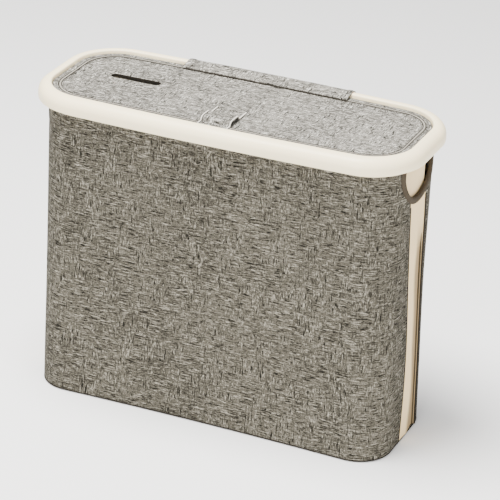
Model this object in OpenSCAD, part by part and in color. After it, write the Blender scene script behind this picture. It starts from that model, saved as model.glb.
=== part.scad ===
// Slim laundry hamper: a moulded rim holds a fabric body with stiff panels, and a fabric
// lid swings on a cloth hinge at the back. X is the length, Y the depth (front is -Y), Z up.
// The origin is the middle of the base. An "inset" is a distance inward from the rim's outline.

/* [Size] */
// Length over the rim
rim_length = 480; // [420:5:560]
// Depth over the rim, measured at the ends of its long sides
rim_depth = 185.2; // [170:0.2:210]
// How far each long side of the rim bows outward in the middle
rim_bow = 7.5; // [0:0.5:10]
// Corner radius of the rim
rim_radius = 64.4; // [60:0.2:75]
// Height of the rim's crown above the floor
height = 388; // [340:1:440]
// Extra depth of the body at the floor, compared with the rim
base_extra_depth = 9.2; // [0:0.2:14]
// Corner radius that the rim's outline has when carried down to the floor
base_radius = 57.4; // [54:0.2:64]
// How far each long side of the body bows at the floor (negative is inward)
base_bow = -6.5; // [-8:0.5:4]

/* [Rim] */
// Height of the outer skirt
skirt_height = 18.7; // [16:0.1:24]
// Radius of the outer shoulder of the crown
shoulder = 12; // [10:0.5:14]
// Thickness of the moulded plastic
plastic = 2.5; // [2:0.1:3]
// Inset of the crown's inner edge, beside the lid
crown_inset = 15.7; // [15:0.1:18]

/* [Body] */
// Inset of the fabric's outer face
body_inset = 13.4; // [13.2:0.05:13.6]
// Thickness of the outer fabric
fabric = 0.9; // [0.6:0.1:1]
// Thickness of the panel boards
board = 2.2; // [1.5:0.1:2.3]
// Thickness of the lining
lining_thickness = 0.5; // [0.3:0.1:0.5]
// Half of the width of the strip in the middle of each end
gusset_half = 23; // [18:0.5:25]

/* [Hand-holds] */
// Half of the greatest width of the oval cut edge
hold_half = 43.5; // [36:0.5:44]
// Height of the lowest point of the cut edge
hold_bottom = 317; // [312:0.5:330]
// Height at which the oval is widest
hold_middle = 356.5; // [345:0.5:362]
// Width of the binding tape on each face
binding_width = 8; // [6:0.5:10]

/* [Lid] */
// Inset of the lid's edge
lid_inset = 16.4; // [16.2:0.1:19]
// Thickness of the lid over its binding
lid_thickness = 5.1; // [4.5:0.1:6]
// Width of the edge binding
lid_border = 7.8; // [6:0.2:12]
// Clear length of the slot
slot_length = 64; // [40:1:90]
// Clear width of the slot
slot_width = 12; // [8:0.5:14]
// Distance of the slot's middle to the left of the lid's middle
slot_offset = 139; // [100:1:150]
// Width of the pull loop
loop_width = 38; // [24:1:60]
// Clear height under the pull loop
loop_rise = 6; // [5:0.5:10]
// Width of the cloth hinge
hinge_width = 214; // [120:2:300]

/* [Hidden] */

corner_steps = 10;
side_steps = 14;
arc_steps = 6;
eps = 0.05;

// Colours of the materials
cream_plastic = [0.93, 0.90, 0.83];
grey_linen = [0.52, 0.50, 0.46];
pale_linen = [0.70, 0.69, 0.66];
cream_cloth = [0.87, 0.81, 0.70];
taupe_tape = [0.42, 0.38, 0.33];
board_tan = [0.66, 0.56, 0.42];
steel = [0.72, 0.73, 0.75];

// Heights through the rim
rim_bottom = height - skirt_height;
shoulder_z = height - shoulder;
web_inset = 10.5;
web_bottom = height - 24;
ledge_top = height - 9.4;
ledge_inset = 27;
clamp_bottom = height - 28;
wall_top = height - 12.2;
inner_wall_bottom = ledge_top + 0.2;

// Insets of the layers of the wall, from outside to inside
board_inset = body_inset + fabric + 0.05;
lining_inset = board_inset + board + 0.05;
wall_inner = lining_inset + lining_thickness;
clamp_inset = wall_inner + 0.25;
clamp_inner = clamp_inset + plastic;
tape_thickness = 0.5;
tape_gap = 0.4;
board_end = rim_depth / 2 - rim_radius - 0.3;

// Layers of the floor
sole = 1;
base_thickness = 3;
base_clearance = 3;
base_lift_top = height * 0.7;
wall_bottom = sole + 0.1;

// Layers of the lid
lid_bottom = ledge_top + 0.2;
lid_top = lid_bottom + lid_thickness;
lip = 0.6;
lid_layer_inset = lid_inset + 0.8;
slot_y = 10;
slot_turn = 0.85;

// Fixings of the rim
screw_z = height - 20;
screw_radius = 1.5;
screw_xs = [-165, -55, 55, 165];

// Flap behind each hand-hold
flap_half = 37;
flap_x = rim_length / 2 - 23;
flap_bottom = hold_bottom - 8;
flap_top = height - 16;
relief_top = height - 15.4;
relief_half = hold_half + binding_width + 3;
end_start = rim_length / 2 - 60;

// ---- Outlines ----

// Outline of the rim carried down to height z: half length, half depth, corner radius, bow
function outline_at(z) =
    let (t = 1 - z / shoulder_z)
    [
        rim_length / 2,
        (rim_depth + t * base_extra_depth) / 2,
        rim_radius + t * (base_radius - rim_radius),
        rim_bow + t * (base_bow - rim_bow)
    ];

// A point moved outward with the bow of the long sides
function bowed(p, o) =
    [p.x, p.y * (1 + o[3] * max(0, 1 - pow(p.x / o[0], 2)) / o[1])];

// Front half of the outline at height z, from the right end round to the left end, stopping
// "gap" short of the middle of each end
function front_path(z, inset, gap) =
    let (
        o = outline_at(z),
        cx = o[0] - o[2],
        cy = o[1] - o[2],
        r = o[2] - inset,
        quarter = [for (k = [0:corner_steps]) 90 * k / corner_steps],
        right = [for (t = quarter) [cx + r * cos(t), -cy - r * sin(t)]],
        side = [for (k = [1:side_steps - 1]) [cx * (1 - 2 * k / side_steps), -cy - r]],
        left = [for (t = quarter) [-cx - r * sin(t), -cy - r * cos(t)]],
        points = concat([[cx + r, -gap]], right, side, left, [[-cx - r, -gap]])
    )
    [for (p = points) let (q = bowed(p, o)) [q.x, q.y, z]];

// The same for the back half, from the left end round to the right end
function back_path(z, inset, gap) =
    [for (p = front_path(z, inset, gap)) [-p.x, -p.y, p.z]];

// The middle of the right end, from y0 to y1
function end_path(z, inset, y0, y1) =
    let (o = outline_at(z))
    [for (y = [y1, (y0 + y1) / 2, y0])
        let (q = bowed([o[0] - inset, y], o)) [q.x, q.y, z]];

function but_last(list) = [for (i = [0:len(list) - 2]) list[i]];

// The whole outline at height z as a closed loop
function loop_path(z, inset) =
    concat(but_last(front_path(z, inset, 0)), but_last(back_path(z, inset, 0)));

// Depth of the back face at x, for a given inset and height
function back_y(x, inset, z) =
    let (o = outline_at(z))
    bowed([x, o[1] - inset], o).y;

// ---- Solids from outlines ----

function triangles(q) = [[q[0], q[1], q[2]], [q[0], q[2], q[3]]];

// A wall between two grids of points, each a list of levels
module wall(outer, inner, closed = false) {
    n = len(outer[0]);
    m = len(outer);
    last = closed ? n - 1 : n - 2;
    function o(j, k) = k * n + j % n;
    function i(j, k) = m * n + k * n + j % n;
    skins = [for (k = [0:m - 2]) for (j = [0:last]) each concat(
        triangles([o(j, k), o(j + 1, k), o(j + 1, k + 1), o(j, k + 1)]),
        triangles([i(j, k), i(j, k + 1), i(j + 1, k + 1), i(j + 1, k)])
    )];
    edges = [for (j = [0:last]) each concat(
        triangles([o(j, m - 1), o(j + 1, m - 1), i(j + 1, m - 1), i(j, m - 1)]),
        triangles([o(j, 0), i(j, 0), i(j + 1, 0), o(j + 1, 0)])
    )];
    ends = closed ? [] : [for (k = [0:m - 2]) each concat(
        triangles([o(0, k), o(0, k + 1), i(0, k + 1), i(0, k)]),
        triangles([o(n - 1, k + 1), o(n - 1, k), i(n - 1, k), i(n - 1, k + 1)])
    )];
    polyhedron(
        points = concat([for (level = outer) each level], [for (level = inner) each level]),
        faces = concat(skins, edges, ends)
    );
}

// A closed ring whose section is a list of [inset, z], taken up its outer side first
module ring(section) {
    loops = [for (p = section) loop_path(p[1], p[0])];
    n = len(loops[0]);
    m = len(section);
    function at(j, s) = (s % m) * n + j % n;
    polyhedron(
        points = [for (l = loops) each l],
        faces = [for (s = [0:m - 1]) for (j = [0:n - 1]) each
            triangles([at(j, s), at(j + 1, s), at(j + 1, s + 1), at(j, s + 1)])]
    );
}

// A flat plate that fills the outline taken at height z_outline
module plate(inset, z0, z1, z_outline) {
    translate([0, 0, z0])
        linear_extrude(z1 - z0)
            polygon([for (p = loop_path(z_outline, inset)) [p.x, p.y]]);
}

// Points on an arc of a section, as [inset, z], from angle a0 to a1
function section_arc(inset, z, r, a0, a1) =
    [for (k = [0:arc_steps])
        let (t = a0 + (a1 - a0) * k / arc_steps) [inset - r * cos(t), z + r * sin(t)]];

wall_levels = [wall_bottom, height * 0.35, height * 0.7, wall_top];

// Half of the body's wall between two insets, ending "gap" from the middle of each end
module front_wall(inset0, inset1, gap, levels = wall_levels) {
    wall([for (z = levels) front_path(z, inset0, gap)],
         [for (z = levels) front_path(z, inset1, gap)]);
}

// The body's wall all the way round
module full_wall(inset0, inset1, levels = wall_levels) {
    wall([for (z = levels) loop_path(z, inset0)],
         [for (z = levels) loop_path(z, inset1)], closed = true);
}

// A strip of the right end's wall
module end_wall(inset0, inset1, y0, y1, levels = wall_levels) {
    wall([for (z = levels) end_path(z, inset0, y0, y1)],
         [for (z = levels) end_path(z, inset1, y0, y1)]);
}

// ---- Cuts ----

// Oval of the hand-hold, grown by "grow" all round: x is the depth, y the height
module hold_shape(grow) {
    translate([0, hold_middle])
        scale([hold_half + grow, hold_middle - hold_bottom + grow])
            circle(r = 1, $fn = 64);
}

// The oval as a prism along X through the right end
module hold_prism(grow) {
    translate([end_start, 0, 0])
        rotate([90, 0, 90])
            linear_extrude(80)
                hold_shape(grow);
}

// The hand-hold cut through both ends; the rim covers the top of the oval
module hand_holds() {
    for (side = [0, 1])
        mirror([side, 0, 0]) hold_prism(0);
}

// Clearance for the hand-holds under the rim, inside its skirt
module hold_relief() {
    below = 5;
    skirt = 3;
    for (side = [0, 1])
        mirror([side, 0, 0])
            translate([end_start, -relief_half, clamp_bottom - below])
                cube([
                    rim_length / 2 - skirt - end_start,
                    2 * relief_half,
                    relief_top - clamp_bottom + below
                ]);
}

// Round cuts for the rim's screws, through the long sides
module screw_cuts(radius) {
    before = 3;
    length = 14;
    for (side = [-1, 1], x = screw_xs)
        translate([x, side * (back_y(x, clamp_inner, screw_z) - before), screw_z])
            rotate([-90 * side, 0, 0]) cylinder(h = length, r = radius, $fn = 32);
}

// ---- Rim ----

module top_rim() {
    section = concat(
        [[0.6, rim_bottom], [0, rim_bottom + 0.8]],
        section_arc(shoulder, shoulder_z, shoulder, 0, 90),
        [[crown_inset - 2, height], [crown_inset - 0.6, height - 0.6], [crown_inset, height - 2],
         [crown_inset, inner_wall_bottom], [web_inset + plastic, inner_wall_bottom],
         [web_inset + plastic, web_bottom], [web_inset, web_bottom]],
        section_arc(shoulder, shoulder_z, shoulder - plastic, 80.9, 0),
        [[plastic, rim_bottom]]
    );
    color(cream_plastic) difference() {
        ring(section);
        hold_relief();
        screw_cuts(screw_radius);
    }
}

module clamp_ring() {
    color(cream_plastic) difference() {
        ring([
            [clamp_inset, clamp_bottom], [clamp_inset, ledge_top - plastic],
            [web_inset + plastic + 0.2, ledge_top - plastic],
            [web_inset + plastic + 0.2, ledge_top], [ledge_inset, ledge_top],
            [ledge_inset, ledge_top - plastic], [clamp_inner, ledge_top - plastic],
            [clamp_inner, clamp_bottom]
        ]);
        hold_relief();
        screw_cuts(screw_radius + 0.1);
    }
}

// Pan-head screws driven outward from inside, through the clamp ring into the rim's web
module rim_screws() {
    head_radius = 3;
    head_height = 1.6;
    shank = clamp_inner - web_inset;
    color(steel)
        for (side = [-1, 1], x = screw_xs)
            translate([x, side * (back_y(x, clamp_inner, screw_z) - 0.25), screw_z])
                rotate([-90 * side, 0, 0]) {
                    cylinder(h = shank, r = screw_radius, $fn = 32);
                    translate([0, 0, -head_height])
                        cylinder(h = head_height + eps, r = head_radius, $fn = 32);
                }
}

// ---- Body ----

module front_cover() {
    color(grey_linen) difference() {
        front_wall(body_inset, body_inset + fabric, gusset_half);
        hand_holds();
        screw_cuts(screw_radius + 0.1);
    }
}

module back_cover() {
    color(grey_linen) rotate([0, 0, 180]) difference() {
        front_wall(body_inset, body_inset + fabric, gusset_half);
        hand_holds();
        screw_cuts(screw_radius + 0.1);
    }
}

module front_board() {
    color(board_tan) difference() {
        front_wall(board_inset, board_inset + board, board_end);
        hand_holds();
        screw_cuts(screw_radius + 0.1);
    }
}

module back_board() {
    color(board_tan) rotate([0, 0, 180]) difference() {
        front_wall(board_inset, board_inset + board, board_end);
        hand_holds();
        screw_cuts(screw_radius + 0.1);
    }
}

module right_gusset() {
    edge = gusset_half - 0.05;
    color(cream_cloth) difference() {
        end_wall(body_inset, body_inset + fabric, -edge, edge);
        hand_holds();
    }
}

module left_gusset() {
    mirror([1, 0, 0]) right_gusset();
}

// Tapes sewn inside the four seams between the strips and the covers
module seam_tapes() {
    outer_edge = board_end - tape_gap;
    inner_edge = gusset_half - 5;
    color(taupe_tape)
        for (side = [0, 1], face = [0, 1])
            mirror([side, 0, 0]) mirror([0, face, 0])
                difference() {
                    end_wall(board_inset, board_inset + tape_thickness, inner_edge, outer_edge);
                    hand_holds();
                }
}

// Bias tape folded over the edge of the hand-hold
module right_handle_binding() {
    tape = 0.8;
    levels = [hold_bottom - 20, relief_top - 0.4];
    color(taupe_tape) difference() {
        intersection() {
            full_wall(body_inset - tape, wall_inner + tape, levels);
            difference() {
                hold_prism(binding_width - 1);
                hold_prism(-1);
            }
        }
        difference() {
            full_wall(body_inset, wall_inner, [hold_bottom - 25, relief_top + 1]);
            hold_prism(0);
        }
    }
}

module left_handle_binding() {
    mirror([1, 0, 0]) right_handle_binding();
}

// One bag of lining: its sides and its floor
module lining() {
    color(cream_cloth) difference() {
        union() {
            full_wall(lining_inset, wall_inner);
            plate(wall_inner - 0.02, wall_bottom, wall_bottom + lining_thickness, wall_bottom);
        }
        hand_holds();
        screw_cuts(screw_radius + 0.1);
    }
}

module bottom_cover() {
    color(grey_linen) plate(body_inset + 0.3, 0, sole, 0);
}

// Corded seam where the covers meet the bottom
module bottom_welt() {
    welt = 0.8;
    color(taupe_tape) ring([
        [body_inset - welt, 0.9], [body_inset - welt, 2.1],
        [body_inset - 0.05, 2.5], [body_inset - 0.05, 0.5]
    ]);
}

// Loose board that lies in the bottom and lifts out: it fits the floor and the narrower
// corners of the body above it
module base_board() {
    z0 = wall_bottom + lining_thickness + 0.2;
    z1 = z0 + base_thickness;
    inset = wall_inner + base_clearance;
    color(board_tan) intersection() {
        plate(inset, z0, z1, 0);
        plate(inset, z0, z1, base_lift_top);
    }
}

// ---- Flaps behind the hand-holds ----

module right_grip_flap() {
    flap = 1.5;
    corner = 12;
    hem = 2.6;
    color(cream_cloth) {
        translate([flap_x - flap, 0, 0])
            rotate([90, 0, 90])
                linear_extrude(flap) {
                    translate([-flap_half, flap_bottom + corner])
                        square([2 * flap_half, flap_top - flap_bottom - corner]);
                    translate([corner - flap_half, flap_bottom])
                        square([2 * (flap_half - corner), corner + eps]);
                    for (side = [-1, 1])
                        translate([side * (flap_half - corner), flap_bottom + corner])
                            circle(r = corner, $fn = 48);
                }
        translate([flap_x - flap, -flap_half, flap_top - 4])
            cube([flap + hem, 2 * flap_half, 4]);
    }
}

module left_grip_flap() {
    mirror([1, 0, 0]) right_grip_flap();
}

// ---- Lid ----

// A slot with round ends, grown by "grow" all round
module slot_shape(grow) {
    width = slot_width + 2 * grow;
    straight = slot_length - slot_width;
    translate([-slot_offset, slot_y]) {
        square([straight, width], center = true);
        for (end = [-1, 1]) translate([end * straight / 2, 0]) circle(d = width, $fn = 48);
    }
}

module slot_cut(grow) {
    translate([0, 0, lid_bottom - 1]) linear_extrude(lid_thickness + 3) slot_shape(grow);
}

module lid_board() {
    color(board_tan) difference() {
        plate(lid_layer_inset, lid_bottom + 0.9, lid_top - 1.2, shoulder_z);
        slot_cut(slot_turn + eps);
    }
}

module lid_top_cover() {
    color(pale_linen) difference() {
        plate(lid_layer_inset, lid_top - 1.2, lid_top - lip, shoulder_z);
        slot_cut(slot_turn + eps);
    }
}

module lid_bottom_cover() {
    color(cream_cloth) difference() {
        plate(lid_layer_inset, lid_bottom + 0.5, lid_bottom + 0.9, shoulder_z);
        slot_cut(slot_turn + eps);
    }
}

// Fabric binding folded round the lid's edge
module lid_edge_binding() {
    inner = lid_inset + lid_border;
    z_out = shoulder_z;
    web = lid_layer_inset - 0.05;
    color(pale_linen) {
        difference() {
            plate(lid_inset, lid_bottom, lid_top, z_out);
            plate(web, lid_bottom + 0.5, lid_top - lip, z_out);
            plate(inner, lid_bottom - 1, lid_top + 1, z_out);
        }
    }
}

// Narrow tape that finishes the slot's edge, with a lip above and below the lid
module slot_binding() {
    color(pale_linen) {
        translate([0, 0, lid_bottom + 0.1])
            linear_extrude(lid_thickness - 0.3)
                difference() {
                    slot_shape(slot_turn);
                    slot_shape(0);
                }
        for (z = [lid_bottom + 0.1, lid_top - lip])
            translate([0, 0, z])
                linear_extrude(0.4)
                    difference() {
                        slot_shape(3);
                        slot_shape(0);
                    }
    }
}

// Finger loop: a band sewn down at its front and back, and arched between
module pull_loop() {
    band = 1.1;
    y_mid = -57.5;
    half_span = 12.5;
    front_foot = 3 - back_y(0, lid_inset, shoulder_z);
    back_foot = -24;
    foot_z = lid_top + eps;
    steps = 16;
    angles = [for (k = [0:steps]) 180 * k / steps];
    inner = [for (t = angles) [y_mid - half_span * cos(t), foot_z + loop_rise * sin(t)]];
    outer = [for (t = angles)
        [y_mid - (half_span + band) * cos(t), foot_z + band + loop_rise * sin(t)]];
    color(pale_linen)
        translate([-loop_width / 2, 0, 0])
            rotate([90, 0, 90])
                linear_extrude(loop_width)
                    polygon(concat(
                        [[front_foot, foot_z]], inner, [[back_foot, foot_z]],
                        [[back_foot, foot_z + band]],
                        [for (k = [steps:-1:0]) outer[k]],
                        [[front_foot, foot_z + band]]
                    ));
}

// ---- Cloth hinge ----

// A strip along the back that follows pairs of [inset, z] on its two faces
module back_strip(outer, inner, width) {
    stations = [for (k = [0:8]) width * (k / 8 - 0.5)];
    wall([for (p = outer) [for (x = stations) [x, back_y(x, p[0], p[1]), p[1]]]],
         [for (p = inner) [for (x = stations) [x, back_y(x, p[0], p[1]), p[1]]]]);
}

// The part of the hinge cloth that lies over the crown and is sewn to the back cover
module hinge_band() {
    clear = 0.2;
    cloth = 0.8;
    sewn_z = height - 60;
    crown = crown_inset - 2.2;
    radius = shoulder + clear;
    color(pale_linen) back_strip(
        concat(
            [[body_inset - 0.1 - cloth, sewn_z], [body_inset - 0.1 - cloth, height - 37],
             [-clear - cloth, rim_bottom - 2]],
            section_arc(shoulder, shoulder_z, radius + cloth, 0, 90),
            [[crown, height + clear + cloth]]
        ),
        concat(
            [[body_inset - 0.1, sewn_z], [body_inset - 0.1, height - 36],
             [-clear, rim_bottom - 1]],
            section_arc(shoulder, shoulder_z, radius, 0, 90),
            [[crown, height + clear]]
        ),
        hinge_width
    );
}

// The part of the hinge cloth that is sewn down on the lid
module hinge_flap() {
    color(pale_linen) back_strip(
        [[lid_inset + 0.2, lid_top + 0.9], [lid_inset + 12, lid_top + 0.9]],
        [[lid_inset + 0.2, lid_top + 0.1], [lid_inset + 12, lid_top + 0.1]],
        hinge_width
    );
}

top_rim();
clamp_ring();
rim_screws();
front_cover();
back_cover();
front_board();
back_board();
right_gusset();
left_gusset();
seam_tapes();
right_handle_binding();
left_handle_binding();
lining();
bottom_cover();
bottom_welt();
hinge_band();
base_board();
right_grip_flap();
left_grip_flap();
lid_board();
lid_top_cover();
lid_bottom_cover();
lid_edge_binding();
slot_binding();
pull_loop();
hinge_flap();
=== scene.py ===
"""Looks of a slim laundry hamper: smooth rim, linen-look covers, lid, cloth hinge and trims."""
import math

import bmesh
import bpy
import numpy as np
from mathutils import Matrix, Vector, noise


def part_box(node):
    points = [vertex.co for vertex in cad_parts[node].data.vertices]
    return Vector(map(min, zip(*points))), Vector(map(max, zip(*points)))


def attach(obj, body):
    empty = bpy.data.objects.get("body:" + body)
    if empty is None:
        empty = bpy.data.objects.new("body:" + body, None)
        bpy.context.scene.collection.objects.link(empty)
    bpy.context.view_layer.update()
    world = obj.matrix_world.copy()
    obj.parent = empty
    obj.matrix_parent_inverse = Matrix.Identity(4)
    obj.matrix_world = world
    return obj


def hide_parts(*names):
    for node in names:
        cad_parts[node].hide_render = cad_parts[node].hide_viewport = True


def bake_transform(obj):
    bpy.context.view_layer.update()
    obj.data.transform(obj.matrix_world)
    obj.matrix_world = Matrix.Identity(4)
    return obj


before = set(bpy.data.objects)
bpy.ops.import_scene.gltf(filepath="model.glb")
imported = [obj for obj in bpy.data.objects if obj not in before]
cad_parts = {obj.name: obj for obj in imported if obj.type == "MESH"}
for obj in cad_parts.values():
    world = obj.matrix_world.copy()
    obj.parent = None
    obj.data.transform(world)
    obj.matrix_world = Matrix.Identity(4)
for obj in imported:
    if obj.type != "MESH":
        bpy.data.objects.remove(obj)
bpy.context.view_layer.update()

MM = 0.001
RIM_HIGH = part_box("top_rim")[1]
LID_LOW, LID_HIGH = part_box("lid_edge_binding")
BAND_LOW, BAND_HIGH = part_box("hinge_band")
SLOT_LOW, SLOT_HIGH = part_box("slot_binding")
LOOP_LOW, LOOP_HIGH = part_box("pull_loop")
COVER_LOW, COVER_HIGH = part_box("front_cover")
HOLD_LOW, HOLD_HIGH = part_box("right_handle_binding")

# Outline of the rim, carried down to the floor
CROWN = RIM_HIGH.z
SHOULDER = 12 * MM
SHOULDER_Z = CROWN - SHOULDER
RIM_BOTTOM = CROWN - 18.7 * MM
HALF_LENGTH = RIM_HIGH.x
RIM_BOW = 7.5 * MM
RIM_HALF_DEPTH = RIM_HIGH.y - RIM_BOW
RIM_RADIUS = 64.4 * MM
BASE_HALF_DEPTH = RIM_HALF_DEPTH + 4.6 * MM
BASE_RADIUS = 57.4 * MM
BASE_BOW = -6.5 * MM

# Insets of the layers, inward from the rim's outline
COVER_INSET = 13.4 * MM
CLOTH = 0.9 * MM
BOARD_INSET = 14.35 * MM
BOARD = 2.2 * MM
LINING_INSET = 16.6 * MM
LINING = 0.5 * MM
WALL_MIDDLE = 15.3 * MM
LID_INSET = HALF_LENGTH - LID_HIGH.x
CROWN_INSET = 15.7 * MM
LID_TOP = LID_HIGH.z
LID_BOTTOM = LID_LOW.z
LID_BORDER = 7.8 * MM
WALL_TOP = COVER_HIGH.z
WALL_BOTTOM = COVER_LOW.z

# The soft right end is pushed in a little half way up, and all cloth is a little slack
END_DENT = 2.0 * MM
DENT_START = 130 * MM
DENT_REACH = 90 * MM
SLACK = 0.35 * MM

# Hand-hold: the oval edge of the cut in the wall, its tape, and the rim's relief over it
HOLD_HALF = 43.5 * MM
HOLD_MIDDLE = 356.5 * MM
TAPE_WIDTH = 8 * MM
HOLD_BOTTOM = HOLD_LOW.z + TAPE_WIDTH - MM
HOLD_TOP = HOLD_HIGH.z
RELIEF_HALF = 55 * MM
RELIEF_REACH = 60 * MM
HOLD_INSIDE = 190 * MM
HOLD_OUTSIDE = 250 * MM

# Radius of the walls' lower edge, and half of the left strip's width
EDGE_ROUND = 3 * MM
LEFT_GUSSET_HALF = 23 * MM


# ---------------------------------------------------------------- outlines

def lerp(a, b, t):
    return a + (b - a) * t


def smooth(t):
    t = min(max(t, 0.0), 1.0)
    return t * t * (3 - 2 * t)


def outline_at(z):
    """Half length, half depth, corner radius and bow of the outline at height z."""
    t = 1 - z / SHOULDER_Z
    return (
        HALF_LENGTH,
        lerp(RIM_HALF_DEPTH, BASE_HALF_DEPTH, t),
        lerp(RIM_RADIUS, BASE_RADIUS, t),
        lerp(RIM_BOW, BASE_BOW, t),
    )


def bow_y(x, y, z):
    a, b, _, bow = outline_at(z)
    return y * (1 + bow * max(0.0, 1 - (x / a) ** 2) / b)


def half_stations(corner=22, side=70, end=10):
    """(part, share) pairs round the front half: right end, corner, side, corner, left end."""
    stations = [("end0", k / end) for k in range(end)]
    stations += [("corner0", k / corner) for k in range(corner)]
    stations += [("side", k / side) for k in range(side)]
    stations += [("corner1", k / corner) for k in range(corner)]
    return stations + [("end1", k / end) for k in range(end + 1)]


def front_point(station, z, inset, gap0=0.0, gap1=0.0):
    """The point and outward normal of a station; gap0 and gap1 leave out the ends' middles."""
    part, share = station
    a, b, r, _ = outline_at(z)
    cx, cy, q = a - r, b - r, r - inset
    gap0, gap1 = min(gap0, cy - 0.2 * MM), min(gap1, cy - 0.2 * MM)
    angle = share * math.pi / 2
    if part == "end0":
        x, y, normal = cx + q, -lerp(gap0, cy, share), (1, 0)
    elif part == "corner0":
        normal = (math.cos(angle), -math.sin(angle))
        x, y = cx + q * normal[0], -cy + q * normal[1]
    elif part == "side":
        x, y, normal = cx * (1 - 2 * share), -cy - q, (0, -1)
    elif part == "corner1":
        normal = (-math.sin(angle), -math.cos(angle))
        x, y = -cx + q * normal[0], -cy + q * normal[1]
    else:
        x, y, normal = -cx - q, -lerp(cy, gap1, share), (-1, 0)
    return Vector((x, bow_y(x, y, z), z)), Vector((*normal, 0))


def back_point(station, z, inset, gap0=0.0, gap1=0.0):
    p, n = front_point(station, z, inset, gap0, gap1)
    return Vector((-p.x, -p.y, p.z)), -n


def end_point(side, y, z, inset):
    """A point on the right (side 1) or left (side -1) end at depth y."""
    a, b, r, _ = outline_at(z)
    cx, cy, q = a - r, b - r, r - inset
    over = max(0.0, abs(y) - cy)
    x = cx + math.sqrt(max(q * q - over * over, 0.0))
    normal = Vector((x - cx, math.copysign(over, y), 0)).normalized()
    return Vector((side * x, bow_y(x, y, z), z)), Vector((side * normal.x, normal.y, 0))


def soften(p, normal):
    """The soft wall's shape: a dent in the right end and slight slack everywhere."""
    rise = math.sin(math.pi * min(max(p.z / RIM_BOTTOM, 0), 1))
    dent = END_DENT * rise * smooth((p.x - DENT_START) / DENT_REACH)
    wave = noise.noise(Vector((p.x * 9, p.y * 9, p.z * 7))) * SLACK * rise * 2
    return p + normal * (wave - dent)


# ---------------------------------------------------------------- mesh tools

def new_object(name, verts, faces, material, uvs=None, smooth_angle=35):
    mesh = bpy.data.meshes.new(name)
    mesh.from_pydata([tuple(v) for v in verts], [], faces)
    if uvs is not None:
        layer = mesh.uv_layers.new(name="weave")
        index = np.empty(len(mesh.loops), int)
        mesh.loops.foreach_get("vertex_index", index)
        layer.data.foreach_set("uv", np.asarray(uvs, float)[index].ravel())
    mesh.update()
    mesh.shade_smooth()
    mesh.set_sharp_from_angle(angle=math.radians(smooth_angle))
    obj = bpy.data.objects.new(name, mesh)
    bpy.context.scene.collection.objects.link(obj)
    obj.data.materials.append(material)
    return obj


def cut(obj, cutter):
    """Cuts the closed cutter out of the object, and removes the cutter."""
    modifier = obj.modifiers.new("cut", "BOOLEAN")
    modifier.operation = "DIFFERENCE"
    modifier.solver = "EXACT"
    modifier.object = cutter
    graph = bpy.context.evaluated_depsgraph_get()
    made = bpy.data.meshes.new_from_object(obj.evaluated_get(graph))
    obj.modifiers.clear()
    obj.data = made
    bpy.data.objects.remove(cutter)


def distances(points):
    """How far along a path each of its points is."""
    steps = [(Vector(b) - Vector(a)).length for a, b in zip(points, points[1:])]
    return np.cumsum([0] + steps)


def shell(name, outer, inner, material, closed=False, uvs=None, smooth_angle=35):
    """A closed solid between two grids of points, each [level][station]."""
    m, n = len(outer), len(outer[0])
    verts = [p for row in outer for p in row] + [p for row in inner for p in row]
    half = m * n
    last = n if closed else n - 1
    faces = []
    for k in range(m - 1):
        for j in range(last):
            a, b = k * n + j, k * n + (j + 1) % n
            c, d = b + n, a + n
            faces.append((a, d, c, b))
            faces.append((half + a, half + b, half + c, half + d))
    for j in range(last):
        a, b = j, (j + 1) % n
        c, d = (m - 1) * n + j, (m - 1) * n + (j + 1) % n
        faces.append((a, b, half + b, half + a))
        faces.append((c, half + c, half + d, d))
    if not closed:
        for k in range(m - 1):
            a, b = k * n, (k + 1) * n
            c, d = a + n - 1, b + n - 1
            faces.append((a, half + a, half + b, b))
            faces.append((c, d, half + d, half + c))
    both = None if uvs is None else [uv for row in uvs for uv in row] * 2
    return new_object(name, verts, faces, material, both, smooth_angle)


def sweep(name, sections, material, closed, smooth_angle=35):
    """A solid through closed sections, each a list of points."""
    m, n = len(sections), len(sections[0])
    verts = [p for section in sections for p in section]
    faces = []
    for i in range(m if closed else m - 1):
        for j in range(n):
            a, b = i * n + j, i * n + (j + 1) % n
            c, d = ((i + 1) % m) * n + (j + 1) % n, ((i + 1) % m) * n + j
            faces.append((a, b, c, d))
    if not closed:
        faces.append(tuple(reversed(range(n))))
        faces.append(tuple((m - 1) * n + j for j in range(n)))
    along, around = distances([section[0] for section in sections]), distances(sections[0])
    uvs = [(along[i], around[j]) for i in range(m) for j in range(n)]
    obj = new_object(name, verts, faces, material, uvs, smooth_angle)
    outward(obj)
    return obj


def outward(obj):
    """Makes the normals of a closed mesh point out."""
    work = bmesh.new()
    work.from_mesh(obj.data)
    bmesh.ops.recalc_face_normals(work, faces=work.faces)
    work.to_mesh(obj.data)
    work.free()


def loop_stations(corner=24, side=60, end=10):
    half = half_stations(corner, side, end)[:-1]
    return [(front_point, s) for s in half] + [(back_point, s) for s in half]


def fit(obj, body, slot, *nodes):
    """Makes the piece move with a body and stand for CAD nodes; the slot is not used."""
    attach(obj, body)
    if nodes:
        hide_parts(*nodes)
    return obj


def ring(name, section, material, smooth_angle=30, detail=None):
    """A closed ring with a section of (inset, z) points; detail may move a point."""
    rings = []
    for point, station in loop_stations():
        rows = []
        for inset, z in section:
            p, _ = point(station, z, inset)
            rows.append(p if detail is None else detail(p, inset, z))
        rings.append(rows)
    return sweep(name, rings, material, True, smooth_angle)


def arc(inset, z, r, a0, a1, steps):
    """Section points on an arc, angles in degrees from the outside up to the top."""
    angles = [math.radians(lerp(a0, a1, k / steps)) for k in range(steps + 1)]
    return [(inset - r * math.cos(t), z + r * math.sin(t)) for t in angles]


def thread_axes(tangent):
    """Two directions at right angles to a thread, the first one level."""
    side = tangent.cross(Vector((0, 0, 1)))
    side = side.normalized() if side.length > 1e-4 else Vector((1, 0, 0))
    return side, side.cross(tangent)


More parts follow.
